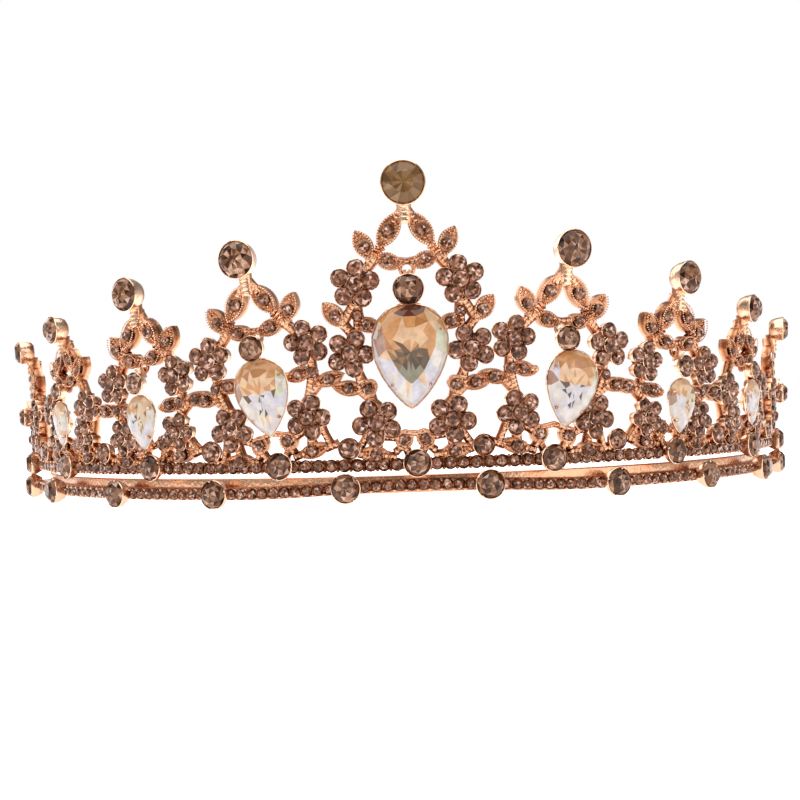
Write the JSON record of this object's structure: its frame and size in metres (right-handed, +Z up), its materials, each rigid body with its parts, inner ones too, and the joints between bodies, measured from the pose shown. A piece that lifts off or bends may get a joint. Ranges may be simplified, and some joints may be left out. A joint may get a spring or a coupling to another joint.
{
  "type": "bridal tiara",
  "caption": "Openwork bridal tiara: a flared half-circle band with stone rows and pointed peaks of leaves, flowers, pear stones and round stones, open at the back.",
  "frame": {"origin": "on the floor plane, under the middle of the tiara's bounding box", "axes": "+Z up from the band to the peaks; -Y is the front, with the tallest peak; +Y is the open back; +X is the wearer's left, to the right as seen from the front"},
  "size_m": [0.1664, 0.0816, 0.0588],
  "materials": {
    "rose_gold": "polished rose-gold plating over a cast alloy",
    "topaz_glass": "foiled smoky-topaz faceted glass",
    "champagne_glass": "foiled champagne faceted glass"
  },
  "bodies": {
    "root": {"headband_strip": "rose_gold", "lower_stone_channel": "rose_gold", "upper_stone_channel": "rose_gold", "centre_peak_casting": "rose_gold", "centre_tip_stone": "topaz_glass", "centre_pendant_stone": "topaz_glass", "centre_pear_stone": "champagne_glass", "centre_upper_row_stone": "topaz_glass", "left_1_peak_casting": "rose_gold", "left_1_tip_stone": "topaz_glass", "left_1_pendant_stone": "topaz_glass", "left_1_pear_stone": "champagne_glass", "left_1_upper_row_stone": "topaz_glass", "right_1_peak_casting": "rose_gold", "right_1_tip_stone": "topaz_glass", "right_1_pendant_stone": "topaz_glass", "right_1_pear_stone": "champagne_glass", "right_1_upper_row_stone": "topaz_glass", "left_2_peak_casting": "rose_gold", "left_2_tip_stone": "topaz_glass", "left_2_pendant_stone": "topaz_glass", "left_2_pear_stone": "champagne_glass", "left_2_upper_row_stone": "topaz_glass", "right_2_peak_casting": "rose_gold", "right_2_tip_stone": "topaz_glass", "right_2_pendant_stone": "topaz_glass", "right_2_pear_stone": "champagne_glass", "right_2_upper_row_stone": "topaz_glass", "left_3_peak_casting": "rose_gold", "left_3_tip_stone": "topaz_glass", "left_3_pendant_stone": "topaz_glass", "left_3_pear_stone": "champagne_glass", "left_3_upper_row_stone": "topaz_glass", "right_3_peak_casting": "rose_gold", "right_3_tip_stone": "topaz_glass", "right_3_pendant_stone": "topaz_glass", "right_3_pear_stone": "champagne_glass", "right_3_upper_row_stone": "topaz_glass", "left_4_peak_casting": "rose_gold", "left_4_tip_stone": "topaz_glass", "left_4_pendant_stone": "topaz_glass", "left_4_upper_row_stone": "topaz_glass", "right_4_peak_casting": "rose_gold", "right_4_tip_stone": "topaz_glass", "right_4_pendant_stone": "topaz_glass", "right_4_upper_row_stone": "topaz_glass", "lower_row_stone_1": "topaz_glass", "lower_row_stone_2": "topaz_glass", "lower_row_stone_3": "topaz_glass", "lower_row_stone_4": "topaz_glass", "lower_row_stone_5": "topaz_glass", "lower_row_stone_6": "topaz_glass", "lower_row_stone_7": "topaz_glass", "lower_row_stone_8": "topaz_glass", "lower_row_stone_9": "topaz_glass", "lower_row_stone_10": "topaz_glass", "left_end_loop": "rose_gold", "right_end_loop": "rose_gold"}
  },
  "joints": []
}
